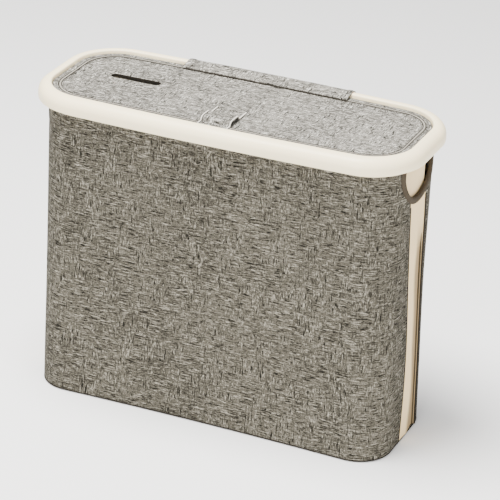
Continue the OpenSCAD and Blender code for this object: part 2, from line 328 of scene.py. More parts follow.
def tube(name, points, radius, material, closed=False, sides=8):
    """A round thread or cord along points."""
    pts = [Vector(p) for p in points]
    sections = []
    for i, p in enumerate(pts):
        ahead = pts[(i + 1) % len(pts)] if closed else pts[min(i + 1, len(pts) - 1)]
        behind = pts[i - 1] if closed or i else pts[0]
        side, up = thread_axes((ahead - behind).normalized())
        turns = [2 * math.pi * k / sides for k in range(sides)]
        sections.append([p + (side * math.cos(t) + up * math.sin(t)) * radius for t in turns])
    return sweep(name, sections, material, closed, 60)


def stitches(name, path, material, body, pitch=3.2 * MM, share=0.72, radius=0.35 * MM):
    """Sewn stitches: short rounded threads one after another along a path."""
    at = distances(path)
    xyz = np.array([tuple(Vector(p)) for p in path])

    def place(s):
        return Vector([float(np.interp(s, at, xyz[:, c])) for c in range(3)])

    verts, faces = [], []
    for k in range(int(at[-1] / pitch)):
        a, b = place(k * pitch), place(k * pitch + pitch * share)
        side, up = thread_axes((b - a).normalized())
        base = len(verts)
        for t, width in ((0, 0.35), (0.18, 0.9), (0.5, 1.0), (0.82, 0.9), (1, 0.35)):
            centre = a.lerp(b, t)
            for c in range(6):
                w = 2 * math.pi * c / 6
                offset = side * math.cos(w) + up * math.sin(w)
                verts.append(centre + offset * radius * width)
        for i in range(4):
            for c in range(6):
                p, q = base + i * 6 + c, base + i * 6 + (c + 1) % 6
                faces.append((p, q, q + 6, p + 6))
        faces.append(tuple(base + c for c in reversed(range(6))))
        faces.append(tuple(base + 24 + c for c in range(6)))
    obj = new_object(name, verts, faces, material, None, 80)
    outward(obj)
    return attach(obj, body)


# ---------------------------------------------------------------- materials

class Look:
    """A procedural material under construction."""

    def __init__(self, name):
        self.material = bpy.data.materials.new(name)
        self.material.use_nodes = True
        self.nodes = self.material.node_tree.nodes
        self.links = self.material.node_tree.links
        self.shader = self.nodes["Principled BSDF"]

    def add(self, kind, values=(), **settings):
        node = self.nodes.new(kind)
        for key, value in settings.items():
            setattr(node, key, value)
        for key, value in dict(values).items():
            if isinstance(value, bpy.types.NodeSocket):
                self.links.new(value, node.inputs[key])
            else:
                node.inputs[key].default_value = value
        return node

    def coordinates(self, uv):
        if uv:
            return self.add("ShaderNodeUVMap", uv_map="weave").outputs[0]
        return self.add("ShaderNodeTexCoord").outputs["Object"]

    def noise(self, at, stretch, detail=2.0, roughness=0.5, shift=0.0, twist=0.0):
        move = self.add("ShaderNodeMapping", {
            "Vector": at, "Scale": stretch, "Location": (shift, shift * 0.7, shift * 0.3)})
        made = self.add("ShaderNodeTexNoise", {
            "Vector": move.outputs[0], "Scale": 1.0, "Detail": detail, "Roughness": roughness,
            "Distortion": twist})
        return made.outputs["Fac"]

    def ramp(self, value, low, high, to_low=0.0, to_high=1.0):
        made = self.add("ShaderNodeMapRange", {
            "Value": value, "From Min": low, "From Max": high,
            "To Min": to_low, "To Max": to_high})
        return made.outputs[0]

    def math(self, operation, a, b):
        return self.add("ShaderNodeMath", {0: a, 1: b}, operation=operation).outputs[0]

    def dashes(self, threads, low, high, area):
        """The part of a thread noise past a threshold, within an area."""
        return self.math("MULTIPLY", self.ramp(threads, low, high), area)

    def mix(self, factor, a, b, blend="MIX"):
        node = self.nodes.new("ShaderNodeMix")
        node.data_type = "RGBA"
        node.blend_type = blend
        for socket, value in ((0, factor), (6, a), (7, b)):
            if isinstance(value, bpy.types.NodeSocket):
                self.links.new(value, node.inputs[socket])
            else:
                node.inputs[socket].default_value = value
        return node.outputs[2]

    def bump(self, height, distance, strength=1.0, under=None):
        values = {"Height": height, "Distance": distance, "Strength": strength}
        if under is not None:
            values["Normal"] = under
        return self.add("ShaderNodeBump", values).outputs[0]

    def finish(self, color, roughness, normal=None, **fixed):
        self.links.new(color, self.shader.inputs["Base Color"])
        if isinstance(roughness, bpy.types.NodeSocket):
            self.links.new(roughness, self.shader.inputs["Roughness"])
        else:
            self.shader.inputs["Roughness"].default_value = roughness
        if normal is not None:
            self.links.new(normal, self.shader.inputs["Normal"])
        for key, value in fixed.items():
            self.shader.inputs[key.replace("_", " ").title().replace("Ior", "IOR")] \
                .default_value = value
        return self.material


def srgb(r, g, b):
    """A linear colour from 8-bit display values."""
    return tuple(
        c / 12.92 if c <= 0.04045 else ((c + 0.055) / 1.055) ** 2.4
        for c in (r / 255, g / 255, b / 255)) + (1.0,)


def grey(value):
    return (value, value, value, 1.0)


def linen(name, mid, dark, light, uv=True):
    """Slubby two-tone weave: short dark and light dashes along both thread directions."""
    look = Look(name)
    at = look.coordinates(uv)
    weft = look.noise(at, (84, 640, 1), 2.0, twist=0.9)
    short_weft = look.noise(at, (170, 720, 1), 1.5, shift=7.3, twist=0.7)
    warp = look.noise(at, (640, 88, 1), 2.0, shift=3.1, twist=0.9)
    short_warp = look.noise(at, (720, 180, 1), 1.5, shift=11.9, twist=0.7)
    grain = look.noise(at, (610, 610, 1), 4.0, 0.9, shift=1.7)
    fuzz = look.noise(at, (2600, 2600, 1), 2.0, 0.6)
    patch = look.noise(at, (64, 42, 1), 3.0, 0.6, shift=5.5)
    tone = look.noise(at, (13, 9, 1), 2.0, 0.5, shift=2.2)

    warp_area = look.ramp(patch, 0.44, 0.56, 0.1, 1.0)
    weft_area = look.ramp(patch, 0.46, 0.62, 1.0, 0.3)
    dark_weft = look.dashes(weft, 0.44, 0.38, weft_area)
    dark_short = look.dashes(short_weft, 0.41, 0.35, weft_area)
    dark_warp = look.dashes(warp, 0.45, 0.39, warp_area)
    light_weft = look.dashes(weft, 0.57, 0.63, weft_area)
    light_warp = look.dashes(short_warp, 0.56, 0.62, warp_area)
    darkness = look.math("MAXIMUM", dark_weft, look.math("MAXIMUM", dark_short, dark_warp))
    lightness = look.math("MAXIMUM", light_weft, light_warp)

    color = look.mix(look.ramp(tone, 0.3, 0.7, 0.0, 0.3), mid, dark)
    color = look.mix(look.math("MULTIPLY", lightness, 0.85), color, light)
    color = look.mix(look.math("MULTIPLY", darkness, 0.92), color, dark)
    shade = look.ramp(grain, 0.33, 0.67, 0.1, 1.9)
    shades = look.add("ShaderNodeCombineColor", {0: shade, 1: shade, 2: shade}).outputs[0]
    color = look.mix(1.0, color, shades, "MULTIPLY")

    threads = look.math("ADD", grain, look.math("MULTIPLY", fuzz, 0.4))
    threads = look.math("ADD", threads, look.math("MULTIPLY", lightness, 0.5))
    threads = look.math("SUBTRACT", threads, look.math("MULTIPLY", darkness, 0.8))
    normal = look.bump(threads, 0.6 * MM, 0.7)
    return look.finish(color, look.ramp(grain, 0.3, 0.7, 0.85, 1.0), normal,
                       specular_ior_level=0.06)


def plain_cloth(name, base, shade, pitch=900, tuck=None):
    """Smooth tight cloth: faint threads, soft creases and uneven tone; painted shade in tucks.
    """
    look = Look(name)
    at = look.coordinates(True)
    weft = look.noise(at, (pitch * 0.2, pitch, pitch), 1.5)
    warp = look.noise(at, (pitch, pitch * 0.2, pitch), 1.5, shift=4.0)
    tone = look.noise(at, (22, 14, 14), 3.0, 0.6, shift=9.0)
    crease = look.noise(at, (60, 22, 22), 2.0, 0.5, shift=6.0)
    color = look.mix(look.ramp(tone, 0.3, 0.75, 0.0, 0.5), base, shade)
    fine = look.math("ADD", weft, warp)
    color = look.mix(look.ramp(fine, 0.7, 1.3, 0.0, 0.3), color, shade)
    # Painted shade: the tuck attribute mixes in the tuck colour where the fold keeps light off
    # the cloth.
    if tuck is not None:
        depth = look.add("ShaderNodeAttribute", attribute_name="tuck").outputs["Fac"]
        color = look.mix(look.math("MULTIPLY", depth, 0.75), color, tuck)
    normal = look.bump(crease, 1.2 * MM, 0.35)
    normal = look.bump(fine, 0.15 * MM, 0.5, normal)
    return look.finish(color, look.ramp(fine, 0.7, 1.3, 0.7, 0.9), normal,
                       specular_ior_level=0.08)


def moulded_plastic(name, base, shade):
    """Satin moulding: faint texture, slightly uneven tone and rubbed high spots."""
    look = Look(name)
    at = look.coordinates(False)
    tone = look.noise(at, (7, 7, 7), 2.0)
    speck = look.noise(at, (500, 500, 500), 3.0, 0.6)
    rub = look.noise(at, (60, 60, 20), 4.0, 0.7, shift=3.0)
    color = look.mix(look.ramp(tone, 0.3, 0.7, 0.0, 0.35), base, shade)
    color = look.mix(look.ramp(rub, 0.60, 0.8, 0.0, 0.15), color, shade)
    normal = look.bump(speck, 0.05 * MM, 0.25)
    return look.finish(color, look.ramp(rub, 0.3, 0.7, 0.3, 0.42), normal,
                       specular_ior_level=0.28, subsurface_weight=0.05,
                       subsurface_scale=0.004)


def stiff_board(name, base, shade):
    """Pressed board: fine speckle, fibres and rubbed patches."""
    look = Look(name)
    at = look.coordinates(False)
    fibre = look.noise(at, (900, 120, 900), 3.0, 0.7)
    patch = look.noise(at, (30, 30, 30), 3.0, 0.6, shift=2.0)
    color = look.mix(look.ramp(fibre, 0.35, 0.7, 0.0, 0.6), base, shade)
    color = look.mix(look.ramp(patch, 0.4, 0.75, 0.0, 0.4), color, shade)
    return look.finish(color, look.ramp(patch, 0.3, 0.7, 0.75, 0.92),
                       look.bump(fibre, 0.1 * MM, 0.4))


def plated_steel(name):
    look = Look(name)
    at = look.coordinates(False)
    scratch = look.noise(at, (3000, 300, 3000), 3.0, 0.7)
    color = look.mix(scratch, srgb(200, 201, 204), srgb(150, 151, 155))
    return look.finish(color, look.ramp(scratch, 0.3, 0.7, 0.25, 0.45), None, metallic=1.0)


def floor_look(name):
    look = Look(name)
    at = look.coordinates(False)
    tone = look.noise(at, (1.5, 1.5, 1.5), 2.0)
    color = look.mix(tone, grey(0.93), grey(0.95))
    return look.finish(color, 0.8)


RIM_PLASTIC = moulded_plastic("cream_moulding", srgb(250, 235, 198), srgb(246, 226, 182))
# Painted light: the lid and the body share one linen; the lid's tones are lighter for the light
# from above, and the body's are darker for the shade on its sides.
SHADED_BODY_TONES = srgb(91, 87, 77), srgb(18, 17, 14), srgb(144, 139, 126)
LIT_LID_TONES = srgb(126, 123, 116), srgb(26, 25, 22), srgb(192, 189, 181)
SHADED_BODY_LINEN = linen("body_linen", *SHADED_BODY_TONES)
LIT_LID_LINEN = linen("lid_linen", *LIT_LID_TONES)
UNDER_LINEN = linen("under_linen", *SHADED_BODY_TONES, uv=False)
# Painted shade: the last colour is the cream strip's fold darkened where the fold keeps light
# off.
GUSSET_CLOTH = plain_cloth("cream_cloth", srgb(242, 217, 170), srgb(228, 200, 150),
                           tuck=srgb(108, 88, 62))
FLAP_CLOTH = plain_cloth("cream_flap_cloth", srgb(242, 218, 174), srgb(230, 203, 156))
LINING_CLOTH = plain_cloth("lining_cloth", srgb(214, 206, 189), srgb(190, 180, 160))
TAPE = plain_cloth("taupe_tape", srgb(72, 64, 53), srgb(52, 46, 37), pitch=1400)
DARK_THREAD = plain_cloth("dark_thread", srgb(48, 44, 38), srgb(30, 27, 23), pitch=3000)
PIPING = plain_cloth("pale_piping", srgb(150, 146, 137), srgb(110, 106, 98), pitch=1800)
PALE_THREAD = plain_cloth("pale_thread", srgb(218, 214, 205), srgb(190, 185, 174), pitch=3000)
BOARD_LOOK = stiff_board("panel_board", srgb(190, 172, 142), srgb(150, 130, 100))
STEEL = plated_steel("plated_steel")


# ---------------------------------------------------------------- rim

def under_rim(p, inset, z):
    """Raises the rim's underside over the hand-holds."""
    near_hold = abs(p.y) < RELIEF_HALF and abs(p.x) > HALF_LENGTH - RELIEF_REACH
    if near_hold and inset > 5 * MM and z < HOLD_TOP:
        p.z = HOLD_TOP + 0.4 * MM
    return p


def make_top_rim():
    web, wall, lip_round = 10.5 * MM, 2.5 * MM, 2.2 * MM
    lip, web_bottom = LID_BOTTOM + 0.2 * MM, CROWN - 24 * MM
    section = [(0.9 * MM, RIM_BOTTOM), (0.3 * MM, RIM_BOTTOM + 0.3 * MM),
               (0, RIM_BOTTOM + 1.0 * MM), (0, RIM_BOTTOM + 4 * MM)]
    section += arc(SHOULDER, SHOULDER_Z, SHOULDER, 0, 90, 16)
    section += arc(CROWN_INSET - lip_round, CROWN - lip_round, lip_round, 90, 180, 8)
    section += [(CROWN_INSET, lip), (web + wall, lip), (web + wall, web_bottom),
                (web, web_bottom)]
    section += arc(SHOULDER, SHOULDER_Z, SHOULDER - wall, 80, 0, 8)
    section += [(wall, RIM_BOTTOM + 0.4 * MM), (2.0 * MM, RIM_BOTTOM)]
    rim = ring("top_rim_shell", section, RIM_PLASTIC, 30, under_rim)
    fit(rim, "hamper", "rim_plastic", "top_rim")


def make_clamp_ring():
    ledge, bottom = LID_BOTTOM - 0.2 * MM, CROWN - 28 * MM
    wall, plate, bevel = 2.5 * MM, 2.5 * MM, 0.8 * MM
    ledge_start, outer, inner = 13.3 * MM, 17.4 * MM, 27 * MM
    section = [(outer, bottom), (outer, ledge - plate), (ledge_start, ledge - plate),
               (ledge_start, ledge), (inner - bevel, ledge), (inner, ledge - bevel),
               (inner, ledge - plate), (outer + wall, ledge - plate), (outer + wall, bottom)]
    clamp = ring("clamp_ring_shell", section, RIM_PLASTIC, 30, under_rim)
    fit(clamp, "hamper", "rim_plastic", "clamp_ring")


# ---------------------------------------------------------------- body walls

def right_front_seam(z):
    """Distance of the right strip's front edge in front of the middle, at height z."""
    top, bottom, drift = 30 * MM, 14 * MM, 14 * MM
    t = 1 - z / WALL_TOP
    return lerp(top, bottom, t) - drift * math.sin(math.pi * t ** 1.6)


def right_back_seam(z):
    """Distance of the right strip's back edge behind the middle."""
    top, bottom, drift = 15 * MM, 38.5 * MM, 5 * MM
    t = 1 - z / WALL_TOP
    return lerp(top, bottom, t) + drift * math.sin(math.pi * t)


def left_seam(z):
    """The left strip's edges are straight: the same distance at every height."""
    return LEFT_GUSSET_HALF


SEAMS = {"front": (right_front_seam, left_seam), "back": (left_seam, right_back_seam)}
END_SEAMS = {  # which end, in front of or behind the middle, and how far
    "right_front": (1, -1, right_front_seam),
    "right_back": (1, 1, right_back_seam),
    "left_front": (-1, -1, left_seam),
    "left_back": (-1, 1, left_seam),
}
WALKS = {"front": front_point, "back": back_point}


def levels(count, low=WALL_BOTTOM, high=WALL_TOP):
    """Heights up the wall, closer together at the rounded bottom edge."""
    edge = [low + EDGE_ROUND * k / 4 for k in range(4)]
    rest = [lerp(low + EDGE_ROUND, high, k / count) for k in range(count + 1)]
    return edge + rest


def bottom_rounding(z):
    """How far the wall's bottom edge curves in."""
    left = max(0.0, WALL_BOTTOM + EDGE_ROUND - z)
    return EDGE_ROUND - math.sqrt(max(EDGE_ROUND ** 2 - left ** 2, 0))


def wall_grid(half, inset, heights, margin, stations):
    """Points of the front or back wall, ending a margin short of the end strips' seams."""
    seam0, seam1 = SEAMS[half]
    rows = []
    for z in heights:
        row = []
        for s in stations:
            gaps = seam0(z) + margin, seam1(z) + margin
            p, n = WALKS[half](s, z, inset + bottom_rounding(z), *gaps)
            row.append(soften(p, n))
        rows.append(row)
    return rows


def grid_uvs(rows):
    """Arc length along the middle row, and height."""
    along = distances(rows[len(rows) // 2])
    return [[(along[j], p.z) for j, p in enumerate(row)] for row in rows]


def plane_uvs(rows, across, up):
    """Coordinates of the points on two axes: 0, 1 or 2 for x, y or z."""
    return [[(p[across], p[up]) for p in row] for row in rows]


def oval(grow, turns):
    """(y, z) points of the hand-hold's edge, grown outward, at the given angles."""
    half, rise = HOLD_HALF + grow, HOLD_MIDDLE - HOLD_BOTTOM + grow
    return [(half * math.cos(t), HOLD_MIDDLE + rise * math.sin(t)) for t in turns]


def whole_oval(steps=72):
    return oval(0, [2 * math.pi * k / steps for k in range(steps)])


def open_oval(grow, top, steps=36):
    """The oval's edge below the height top, from the back round the bottom to the front."""
    first = math.asin((top - HOLD_MIDDLE) / (HOLD_MIDDLE - HOLD_BOTTOM + grow))
    return oval(grow, [lerp(first, -first - math.pi, k / steps) for k in range(steps + 1)])


def hold_cutter(side):
    """A prism in the shape of the hand-hold, across one end."""
    sections = [[Vector((side * x, y, z)) for y, z in whole_oval()]
                for x in (HOLD_INSIDE, HOLD_OUTSIDE)]
    return sweep("hold_cutter", sections, BOARD_LOOK, False)


def cut_holds(obj, sides=(1, -1)):
    for side in sides:
        cut(obj, hold_cutter(side))


def make_wall(half, kind, inset, thickness, margin, material, slot, heights, stations):
    """A layer of the front or back wall, and the length of its path round the body."""
    outer = wall_grid(half, inset, heights, margin, stations)
    inner = wall_grid(half, inset + thickness, heights, margin, stations)
    uvs = grid_uvs(outer)
    piece = shell("%s_%s" % (half, kind), outer, inner, material, uvs=uvs)
    cut_holds(piece)
    fit(piece, "hamper", slot, "%s_%s" % (half, kind.split("_")[0]))
    return piece, uvs[0][-1][0]


def make_covers():
    for half in ("front", "back"):
        piece, width = make_wall(half, "cover_cloth", COVER_INSET, CLOTH, 0, SHADED_BODY_LINEN,
                                 "body_linen", levels(60), half_stations(22, 70, 12))


def make_boards():
    for half in ("front", "back"):
        make_wall(half, "board_panel", BOARD_INSET, BOARD, 6 * MM, BOARD_LOOK,
                  "panel_board", levels(24), half_stations(14, 20, 4))


def ridge_share(z):
    """Where the folded ridge runs across an end strip, as a share of its width."""
    t = 1 - z / WALL_TOP
    return lerp(0.55, 0.46, t) + 0.05 * math.sin(9 * t) + 0.03 * math.sin(23 * t + 1)


def fold_strength(z):
    """The fold starts a quarter of the way down the strip, and soon has its full depth."""
    return smooth((1 - z / WALL_TOP - 0.24) / 0.14)


def crease(share, z, depth):
    """Outward relief across an end strip: rises to the ridge, then falls into a tuck."""
    ridge, tuck = ridge_share(z), 0.93
    ridge_lift, tuck_lift, edge_lift = 0.4, -1.0, 0.2
    if share < ridge:
        lift = ridge_lift * (share / ridge) ** 2.5
    elif share < tuck:
        lift = lerp(ridge_lift, tuck_lift, (share - ridge) / (tuck - ridge))
    else:
        lift = lerp(tuck_lift, edge_lift, (share - tuck) / (1 - tuck))
    return depth * fold_strength(z) * lift


def tuck_shade(share, z):
    """How much light the fold keeps off the cloth, 0 to 1, from just before the ridge."""
    return smooth((share - ridge_share(z) + 0.12) / 0.2) * fold_strength(z)


def end_strip_grid(side, seams, inset, heights, shares, depth):
    """Points across an end strip from its front seam to its back seam, at each height."""
    rows = []
    for z in heights:
        row = []
        for share in shares:
            y = lerp(-seams[0](z), seams[1](z), share)
            p, n = end_point(side, y, z, inset + bottom_rounding(z))
            row.append(soften(p, n) + n * crease(share, z, depth))
        rows.append(row)
    return rows


def make_gusset(name, side, seams, depth):
    """Cream strip in the middle of an end, with a fold of the given depth."""
    across = 48
    heights, shares = levels(110), [k / across for k in range(across + 1)]
    outer = end_strip_grid(side, seams, COVER_INSET - 0.1 * MM, heights, shares, depth)
    inner = end_strip_grid(side, seams, COVER_INSET + 0.8 * MM, heights, shares, depth)
    piece = shell(name + "_cloth", outer, inner, GUSSET_CLOTH, uvs=plane_uvs(outer, 1, 2),
                  smooth_angle=60)
    outward(piece)
    # Painted shade of the fold, stored per point for the cloth's tuck colour.
    shades = [tuck_shade(share, z) for z in heights for share in shares] * 2
    piece.data.attributes.new("tuck", "FLOAT", "POINT").data.foreach_set("value", shades)
    cut_holds(piece, (side,))
    fit(piece, "hamper", "gusset_cloth", name)


def make_seam_tapes():
    """Four tapes inside the end seams, as one piece."""
    heights = levels(30, WALL_BOTTOM, HOLD_BOTTOM - 4 * MM)
    half_width, thick = 4 * MM, 0.4 * MM
    pieces = []
    for side, sign, seam in END_SEAMS.values():
        grids = []
        for inset in (BOARD_INSET, BOARD_INSET + thick):
            rows = []
            for z in heights:
                ys = [sign * (seam(z) + w) for w in (-half_width, 0, half_width)]
                ends = [end_point(side, y, z, inset) for y in ys]
                rows.append([soften(p, n) for p, n in ends])
            grids.append(rows)
        strip = shell("seam_strip", *grids, TAPE, uvs=plane_uvs(grids[0], 1, 2))
        outward(strip)
        pieces.append(strip)
    tapes = join("seam_tape_set", pieces)
    fit(tapes, "hamper", "binding_tape", "seam_tapes")


def join(name, pieces):
    """Joins several meshes with one material into one object."""
    work = bmesh.new()
    for piece in pieces:
        work.from_mesh(piece.data)
    mesh = bpy.data.meshes.new(name)
    work.to_mesh(mesh)
    work.free()
    mesh.materials.append(pieces[0].data.materials[0])
    obj = bpy.data.objects.new(name, mesh)
    bpy.context.scene.collection.objects.link(obj)
    for piece in pieces:
        bpy.data.objects.remove(piece)
    return obj


def make_lining():
    """Inner bag: its walls in one loop, and its floor."""
    heights = levels(30, WALL_BOTTOM + 0.6 * MM, WALL_TOP)
    stations = loop_stations(14, 24, 6)
    grids = []
    for inset in (LINING_INSET, LINING_INSET + LINING):
        rows = []
        for z in heights:
            ends = [point(s, z, inset + bottom_rounding(z)) for point, s in stations]
            rows.append([soften(p, n) for p, n in ends])
        grids.append(rows)
    walls = shell("lining_walls", grids[0], grids[1], LINING_CLOTH, closed=True,
                  uvs=grid_uvs(grids[0]))
    cut_holds(walls)
    fit(walls, "hamper", "lining_cloth", "lining")
    floor = flat_cloth("lining_floor", LINING_INSET + 3 * MM, WALL_BOTTOM,
                       WALL_BOTTOM + LINING, 0, LINING_CLOTH, 0.1 * MM)
    fit(floor, "hamper", "lining_cloth")


# ---------------------------------------------------------------- flat cloths

def edge_y(x, z, inset):
    """Depth of the outline at x: half of its width there."""
    a, b, r, _ = outline_at(z)
    cx, cy, q = a - r, b - r, r - inset
    over = max(0.0, abs(x) - cx)
    return bow_y(x, cy + math.sqrt(max(q * q - over * over, 0)), z)


def flat_grid(inset, z, z_outline, wave, nx=110, ny=40):
    """Points that fill the outline at a height, uneven except near the edge."""
    a, margin = HALF_LENGTH - inset, 20 * MM
    rows = []
    for i in range(nx + 1):
        x = -a * math.cos(math.pi * i / nx)
        width = edge_y(x, z_outline, inset)
        row = []
        for j in range(ny + 1):
            y = lerp(-width, width, j / ny)
            border = min(1.0, (a - abs(x)) / margin, (width - abs(y)) / margin)
            lift = wave * noise.noise(Vector((x * 14, y * 14, 3.0))) * max(border, 0)
            row.append(Vector((x, y, z + lift)))
        rows.append(row)
    return rows


def flat_cloth(name, inset, z0, z1, z_outline, material, wave):
    """A level sheet that fills the outline, with a slight unevenness."""
    top = flat_grid(inset, z1, z_outline, wave)
    bottom = flat_grid(inset, z0, z_outline, wave)
    piece = shell(name, top, bottom, material, uvs=plane_uvs(top, 0, 1))
    outward(piece)
    return piece


def make_bottom():
    """Cloth under the bottom, and the cord in the seam round it."""
    low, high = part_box("bottom_cover")
    cover = flat_cloth("bottom_cover_cloth", COVER_INSET + 2.6 * MM, low.z, high.z, 0,
                       UNDER_LINEN, 0)
    fit(cover, "hamper", "body_linen", "bottom_cover")
    path = [soften(*point(s, 1.6 * MM, COVER_INSET + 0.6 * MM))
            for point, s in loop_stations(16, 40, 6)]
    welt = tube("bottom_welt_cord", path, 0.8 * MM, DARK_THREAD, closed=True)
    fit(welt, "hamper", "binding_tape", "bottom_welt")


# ---------------------------------------------------------------- hand-holds

def make_handle_binding(name, side):
    """Folded tape round the hand-hold's edge, as a soft oval section along its U."""
    offset = TAPE_WIDTH / 2 - 0.6 * MM
    half_width, half_thick = TAPE_WIDTH / 2 + 0.3 * MM, 2.7 * MM
    points = spread(open_oval(offset, HOLD_TOP - 0.2 * MM), 2.5 * MM)
    sections = []
    for i, (y, z) in enumerate(points):
        y0, z0 = points[max(i - 1, 0)]
        y1, z1 = points[min(i + 1, len(points) - 1)]
        p, n = end_point(side, y, z, WALL_MIDDLE)
        p = soften(p, n)
        along = Vector((0, y1 - y0, z1 - z0)).normalized()
        along = (along - n * along.dot(n)).normalized()
        across = along.cross(n).normalized()
        section = []
        for k in range(20):
            t = 2 * math.pi * k / 20
            c, s = math.cos(t), math.sin(t)
            w = math.copysign(abs(c) ** 0.62, c) * half_width
            h = math.copysign(abs(s) ** 0.75, s) * half_thick
            section.append(p + across * w + n * h)
        sections.append(section)
    piece = sweep(name + "_tape", sections, TAPE, False, 60)
    fit(piece, "hamper", "binding_tape", name)
    path = []
    for y, z in spread(open_oval(TAPE_WIDTH - 1.6 * MM, HOLD_TOP - 2 * MM), 2 * MM):
        p, n = end_point(side, y, z, WALL_MIDDLE)
        path.append(soften(p, n) + n * (half_thick - 0.45 * MM))
    stitches(name + "_stitches", path, DARK_THREAD, "hamper", 3 * MM, 0.7, 0.28 * MM)


def spread(points, step):
    """The same path with evenly spaced points."""
    pts = np.array(points, float)
    at = np.concatenate([[0], np.cumsum(np.linalg.norm(np.diff(pts, axis=0), axis=1))])
    count = max(2, int(at[-1] / step))
    where = np.linspace(0, at[-1], count + 1)
    return [tuple(float(np.interp(s, at, pts[:, c])) for c in range(pts.shape[1]))
            for s in where]


def make_grip_flap(name, side, body):
    """Cream flap with a rounded bottom, a soft bulge and a hemmed top."""
    low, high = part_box(name)
    half, corner, thick, hem_radius = high.y, 12 * MM, 1.5 * MM, 1.4 * MM
    bulge_depth, wave_depth = 3.2 * MM, 0.5 * MM
    face = (low.x, low.x + thick) if side > 0 else (high.x - thick, high.x)
    nu, nv = 36, 44
    grids = []
    for x in face:
        rows = []
        for i in range(nv + 1):
            t = i / nv
            z = lerp(low.z, high.z, t)
            below = max(0.0, low.z + corner - z)
            width = half - corner + math.sqrt(max(corner ** 2 - below ** 2, 0))
            row = []
            for j in range(nu + 1):
                y = lerp(-width, width, j / nu)
                bulge = smooth(4 * (1 - abs(y) / (half + MM))) * smooth(2.2 * (1 - t))
                wave = noise.noise(Vector((y * 30, z * 22, side * 2.0))) * (1 - t)
                out = bulge_depth * bulge + wave_depth * wave
                row.append(Vector((x + side * out, y, z)))
            rows.append(row)
        grids.append(rows)
    piece = shell(name + "_cloth", *grids, FLAP_CLOTH, uvs=plane_uvs(grids[0], 1, 2),
                  smooth_angle=60)
    outward(piece)
    fit(piece, body, "gusset_cloth", name)
    hem_x = low.x if side > 0 else high.x
    row = [(hem_x, y, high.z - hem_radius) for y in np.linspace(-half, half, 12)]
    fit(tube(name + "_hem", row, hem_radius, FLAP_CLOTH), body, "gusset_cloth")


# ---------------------------------------------------------------- lid

def make_lid_border():
    """Binding folded round the lid's edge, a raised cord between two lines, and stitches."""
    top, low = LID_TOP, LID_BOTTOM
    edge, inner = LID_INSET, LID_INSET + LID_BORDER
    skin, bend = 0.7 * MM, 1.8 * MM
    section = arc(edge + bend, low + bend, bend, -90, 0, 5)
    section += arc(edge + bend, top - bend, bend, 0, 90, 5)
    section += [(lerp(edge, inner, 0.6), top + 0.15 * MM), (inner - 0.4 * MM, top),
                (inner, top - 0.3 * MM), (inner - 0.2 * MM, top - skin)]
    section += [(edge + bend, top - skin), (edge + skin, top - bend),
                (edge + skin, low + bend), (edge + bend, low + skin),
                (inner, low + skin), (inner, low)]
    border = ring("lid_border_cloth", section, LIT_LID_LINEN, 50)
    fit(border, "lid", "lid_linen", "lid_edge_binding")
    cord = tube("lid_cord", lid_path(inner + 1.5 * MM, 0.75 * MM), 1.3 * MM, PIPING, closed=True)
    fit(cord, "lid", "lid_linen")
    for name, inset in (("outer", inner - 0.2 * MM), ("inner", inner + 3.1 * MM)):
        line = tube("lid_line_" + name, lid_path(inset, 0.2 * MM), 0.6 * MM, DARK_THREAD,
                    closed=True)
        fit(line, "lid", "binding_tape")
    path = lid_path(inner + 5 * MM, 0.5 * MM)
    stitches("lid_stitches", path + path[:1], DARK_THREAD, "lid", 3.8 * MM, 0.6, 0.34 * MM)


def lid_path(inset, depth):
    """A level path round the lid, at an inset from the rim's outline and below the lid's top."""
    path = [point(s, SHOULDER_Z, inset)[0] for point, s in loop_stations(30, 90, 16)]
    for p in path:
        p.z = LID_TOP - depth
    return path


def stadium(centre, length, width, z, steps=10):
    """Points round a slot with round ends."""
    r = width / 2
    points = []
    for side, start in ((1, -90), (-1, 90)):
        for k in range(steps + 1):
            t = math.radians(start + 180 * k / steps)
            x = centre.x + side * (length / 2 - r) + r * math.cos(t)
            points.append(Vector((x, centre.y + r * math.sin(t), z)))
    return points


def slot_size():
    """The slot's middle, clear length and clear width, from the CAD binding round it."""
    binding = 3 * MM
    size = SLOT_HIGH - SLOT_LOW
    return (SLOT_LOW + SLOT_HIGH) / 2, size.x - 2 * binding, size.y - 2 * binding


def cut_slot(obj, grow):
    centre, length, width = slot_size()
    sections = [stadium(centre, length + 2 * grow, width + 2 * grow, z)
                for z in (LID_BOTTOM - 5 * MM, LID_TOP + 5 * MM)]
    cut(obj, sweep("slot_cutter", sections, BOARD_LOOK, False))


def make_lid_cloths():
    """Cloths over and under the lid's board, each with the slot cut in it."""
    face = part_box("lid_top_cover")[1].z
    top = flat_cloth("lid_top_cloth", LID_INSET + 6.5 * MM, face - CLOTH, face + 0.1 * MM,
                     SHOULDER_Z, LIT_LID_LINEN, 0.5 * MM)
    cut_slot(top, 0.4 * MM)
    fit(top, "lid", "lid_linen", "lid_top_cover")
    low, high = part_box("lid_bottom_cover")
    under = flat_cloth("lid_under_cloth", LID_INSET + 1.2 * MM, low.z, high.z, SHOULDER_Z,
                       LINING_CLOTH, 0)
    cut_slot(under, 0.4 * MM)
    fit(under, "lid", "lining_cloth", "lid_bottom_cover")


